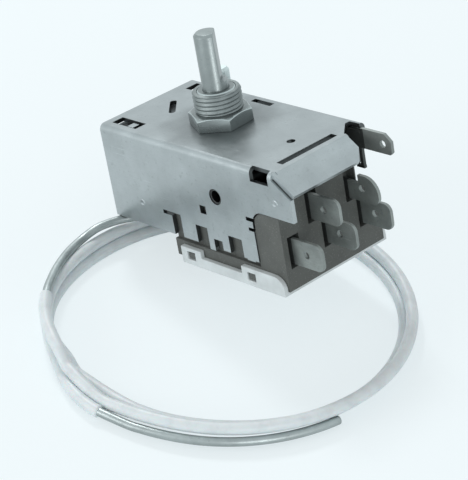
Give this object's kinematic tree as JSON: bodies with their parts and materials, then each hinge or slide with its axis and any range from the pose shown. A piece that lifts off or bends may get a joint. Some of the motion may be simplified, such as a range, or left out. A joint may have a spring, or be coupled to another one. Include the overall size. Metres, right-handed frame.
{
  "type": "refrigerator thermostat",
  "caption": "Panel-mounted refrigerator temperature control with a D shaft, spade terminals and a sleeved sensing capillary coiled beside it.",
  "frame": {"origin": "on the axis of the control shaft, on the face of the bushing's collar where the panel seats", "axes": "+Z out along the control shaft, +X along the housing towards the spade terminals, +Y across the housing towards the side with the earth spade"},
  "size_m": [0.0818, 0.0858, 0.0712],
  "materials": {
    "plated_sheet": "dull zinc plate",
    "turned_steel": "plated, turned",
    "spring_steel": "dull",
    "spade_metal": "tarnished",
    "brass": "satin",
    "silver_contact": "satin",
    "dark_moulding": "moulded, matt",
    "white_moulding": "moulded, matt",
    "sleeve": "smooth soft plastic",
    "bare_capillary": "drawn tube, dull"
  },
  "bodies": {
    "housing": {"frame": "plated_sheet", "bushing": "turned_steel", "mounting_nut": "turned_steel", "locating_pin": "turned_steel", "pivot_pin": "turned_steel", "element_bracket": "plated_sheet", "power_element": "brass", "capillary_lead": "bare_capillary", "capillary_coil": "sleeve", "sensing_tip": "bare_capillary", "switch_base": "dark_moulding", "bottom_cover": "white_moulding", "terminal_near": "spade_metal", "terminal_middle": "spade_metal", "terminal_far": "spade_metal", "terminal_upper_near": "spade_metal", "terminal_upper_far": "spade_metal", "earth_terminal": "spade_metal", "earth_rivet": "turned_steel", "fixed_contact": "brass", "contact_post": "brass", "differential_screw": "brass"},
    "shaft": {"control_shaft": "turned_steel", "range_cam": "brass", "shaft_clip": "spring_steel"},
    "slide": {"range_slide": "plated_sheet", "range_screw": "brass", "spring_nut": "brass", "range_spring": "spring_steel"},
    "lever": {"main_lever": "plated_sheet"},
    "element_pin": {"element_plunger": "turned_steel"},
    "switch_pin": {"switch_plunger": "white_moulding"},
    "blade": {"snap_blade": "brass", "moving_contact": "silver_contact"}
  },
  "joints": [
    {"name": "shaft_turn", "type": "hinge", "parent": "housing", "child": "shaft", "pos_m": [0, 0, 0], "axis": [0, 0, 1], "range_deg": [-120, 120]},
    {"name": "slide_travel", "type": "slide", "parent": "housing", "child": "slide", "axis": [-1, 0, 0], "range_m": [-0.0014, 0.0014]},
    {"name": "lever_tilt", "type": "hinge", "parent": "housing", "child": "lever", "pos_m": [0.0119, 0, -0.013], "axis": [0, 1, 0], "range_deg": [0, 2.4]},
    {"name": "element_stroke", "type": "slide", "parent": "housing", "child": "element_pin", "axis": [0, 0, 1], "range_m": [0, 0.0011]},
    {"name": "switch_stroke", "type": "slide", "parent": "housing", "child": "switch_pin", "axis": [0, 0, -1], "range_m": [0, 0.00021]},
    {"name": "blade_flex", "type": "hinge", "parent": "housing", "child": "blade", "pos_m": [0.02, 0, -0.0254], "axis": [0, -1, 0], "range_deg": [0, 2.88]}
  ],
  "couplings": [
    {"joint": "shaft_turn", "follows": "slide_travel", "rad_per_m": 1496},
    {"joint": "element_stroke", "follows": "lever_tilt", "m_per_rad": 0.0262},
    {"joint": "switch_stroke", "follows": "lever_tilt", "m_per_rad": 0.005},
    {"joint": "blade_flex", "follows": "lever_tilt", "ratio": 1.2}
  ]
}
